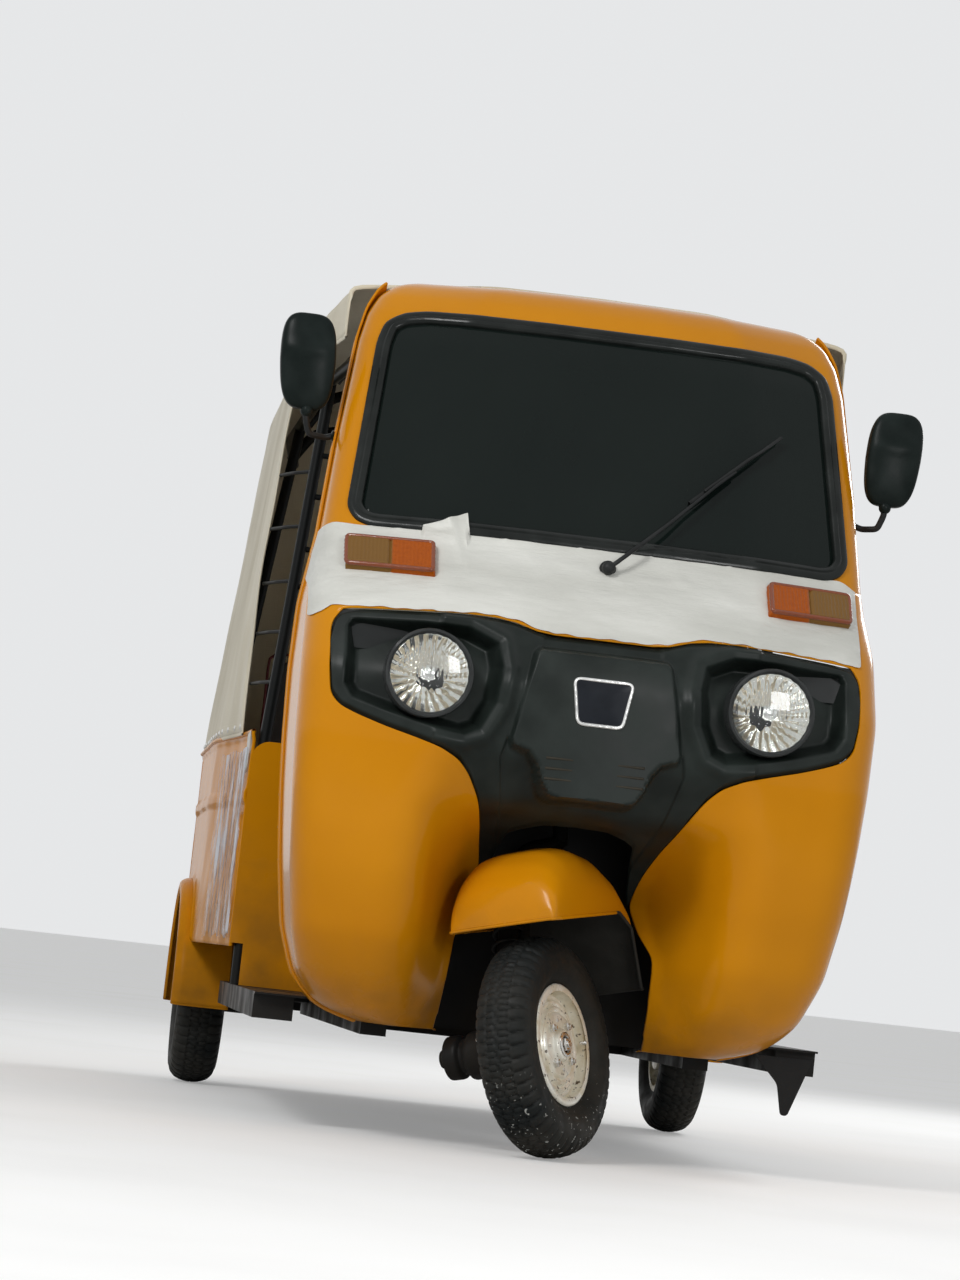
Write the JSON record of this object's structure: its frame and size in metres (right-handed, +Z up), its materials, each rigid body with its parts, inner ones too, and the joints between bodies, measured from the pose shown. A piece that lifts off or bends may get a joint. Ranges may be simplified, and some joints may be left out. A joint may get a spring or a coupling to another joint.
{
  "type": "auto rickshaw",
  "caption": "Three-wheeled auto rickshaw with a steered front wheel, canvas hood, driver's cab, rear bench and a rear engine behind a hinged lid.",
  "frame": {"origin": "on the floor, below the middle of the bounding box", "axes": "+Z up, the nose points to -Y, +X is the vehicle's left side"},
  "size_m": [1.3, 2.635, 1.704],
  "materials": {
    "paint": "gloss orange-yellow paint",
    "black_paint": "satin black paint",
    "black_plastic": "semi-gloss moulded black plastic",
    "rubber": "matte black rubber",
    "tyre": "matte tyre rubber",
    "rim": "silver paint, scuffed",
    "glass": "clear glass over a dark cab",
    "lens": "fluted clear lens with a chromed bowl",
    "amber_lens": "amber moulded lens",
    "red_lens": "red moulded lens",
    "canvas": "coated canvas, cream",
    "clear_sheet": "flexible brown clear sheet",
    "seat_cover": "grey vinyl",
    "cast": "dull cast metal"
  },
  "bodies": {
    "body": {"front_cowl": "paint", "front_fascia": "black_plastic", "screen_frame": "paint", "windscreen_seal": "rubber", "windscreen_glass": "glass", "headlamp_left": "lens", "headlamp_right": "lens", "indicator_left": "amber_lens", "indicator_right": "amber_lens", "toe_board": "black_paint", "dashboard": "black_plastic", "floor_pan": "black_paint", "bulkhead": "paint", "driver_seat": "seat_cover", "side_panel_right": "paint", "side_panel_left": "paint", "rear_panel": "paint", "tail_lamp_left": "red_lens", "tail_lamp_right": "red_lens", "rear_bumper": "black_paint", "number_plate_holder": "black_paint", "rear_mudguard_left": "paint", "rear_mudguard_right": "paint", "engine": "cast", "muffler": "cast", "trailing_arm_left": "black_paint", "trailing_arm_right": "black_paint", "rear_seat_cushion": "seat_cover", "rear_backrest": "seat_cover", "hood": "canvas", "rear_window": "clear_sheet", "hood_frame": "black_paint", "wiper": "black_plastic", "mirror_left": "black_plastic", "mirror_right": "black_plastic", "splash_flap": "rubber"},
    "steering": {"fork": "black_paint", "handlebar": "black_paint", "front_mudguard": "paint"},
    "engine_lid": {"engine_lid": "paint"},
    "front_wheel": {"front_tyre": "tyre", "front_rim": "rim"},
    "rear_left_wheel": {"rear_left_tyre": "tyre", "rear_left_rim": "rim"},
    "rear_right_wheel": {"rear_right_tyre": "tyre", "rear_right_rim": "rim"}
  },
  "joints": [
    {"name": "steering", "type": "hinge", "parent": "body", "child": "steering", "pos_m": [0, -1.1825, 0], "axis": [0, 0.3746, 0.9272], "range_deg": [-5, 75]},
    {"name": "front_wheel_spin", "type": "hinge", "parent": "steering", "child": "front_wheel", "pos_m": [-0.0128, -1.11876, 0.20658], "axis": [0.8192, -0.5318, 0.2149], "continuous": true},
    {"name": "rear_left_wheel_spin", "type": "hinge", "parent": "body", "child": "rear_left_wheel", "pos_m": [0.575, 0.8775, 0.208], "axis": [1, 0, 0], "continuous": true},
    {"name": "rear_right_wheel_spin", "type": "hinge", "parent": "body", "child": "rear_right_wheel", "pos_m": [-0.575, 0.8775, 0.208], "axis": [1, 0, 0], "continuous": true},
    {"name": "engine_lid_hinge", "type": "hinge", "parent": "body", "child": "engine_lid", "pos_m": [0, 1.2515, 0.739], "axis": [1, 0, 0], "range_deg": [0, 70]}
  ]
}
